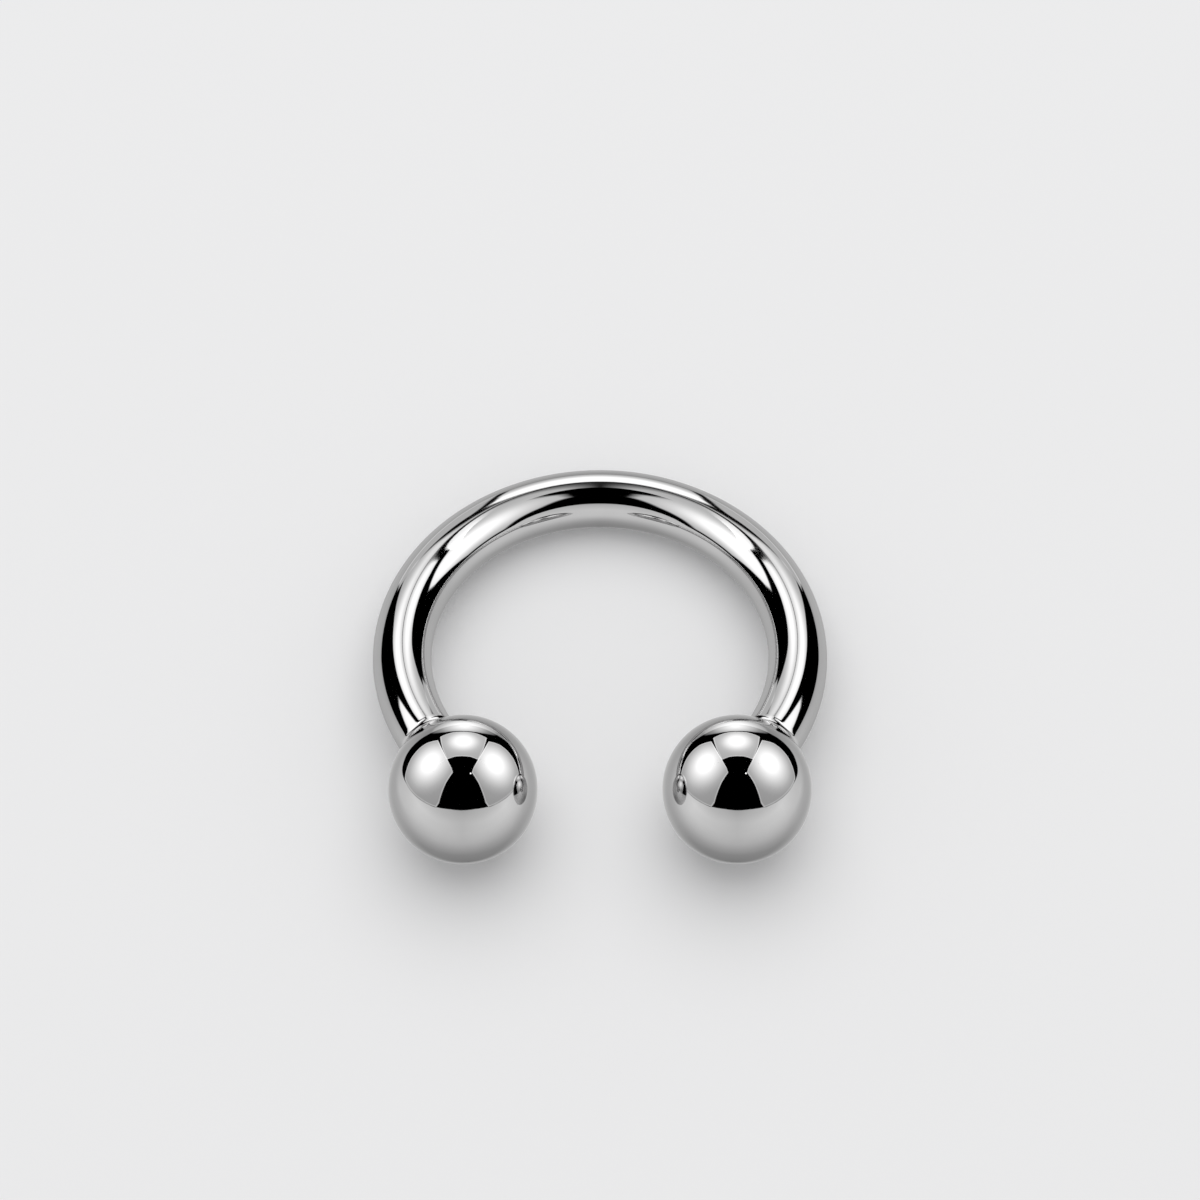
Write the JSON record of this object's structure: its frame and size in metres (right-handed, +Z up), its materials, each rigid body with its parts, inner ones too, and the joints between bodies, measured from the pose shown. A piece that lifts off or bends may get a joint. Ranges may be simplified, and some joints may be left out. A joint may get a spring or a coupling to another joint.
{
  "type": "horseshoe barbell",
  "caption": "Horseshoe barbell of body jewellery: a round polished steel bar bent into an open ring, with a plain ball screwed onto each end.",
  "frame": {"origin": "under the middle of the piece as it lies, on the surface that it rests on", "axes": "+X to the right as seen from the opening, +Y from the opening towards the closed side of the ring, +Z up from the surface"},
  "size_m": [0.031, 0.0314, 0.01],
  "materials": {
    "bar_steel": "mirror polished stainless steel with very fine polishing marks",
    "ball_steel": "mirror polished stainless steel with very fine polishing marks"
  },
  "bodies": {
    "bar": {"bar": "bar_steel"},
    "left_ball": {"left_ball": "ball_steel"},
    "right_ball": {"right_ball": "ball_steel"}
  },
  "joints": [
    {"name": "left_ball_slide", "type": "slide", "parent": "bar", "child": "left_ball", "axis": [0.5, -0.8596, 0.1056], "range_m": [0, 0.005]},
    {"name": "right_ball_slide", "type": "slide", "parent": "bar", "child": "right_ball", "axis": [-0.5, -0.8596, 0.1056], "range_m": [0, 0.005]}
  ]
}
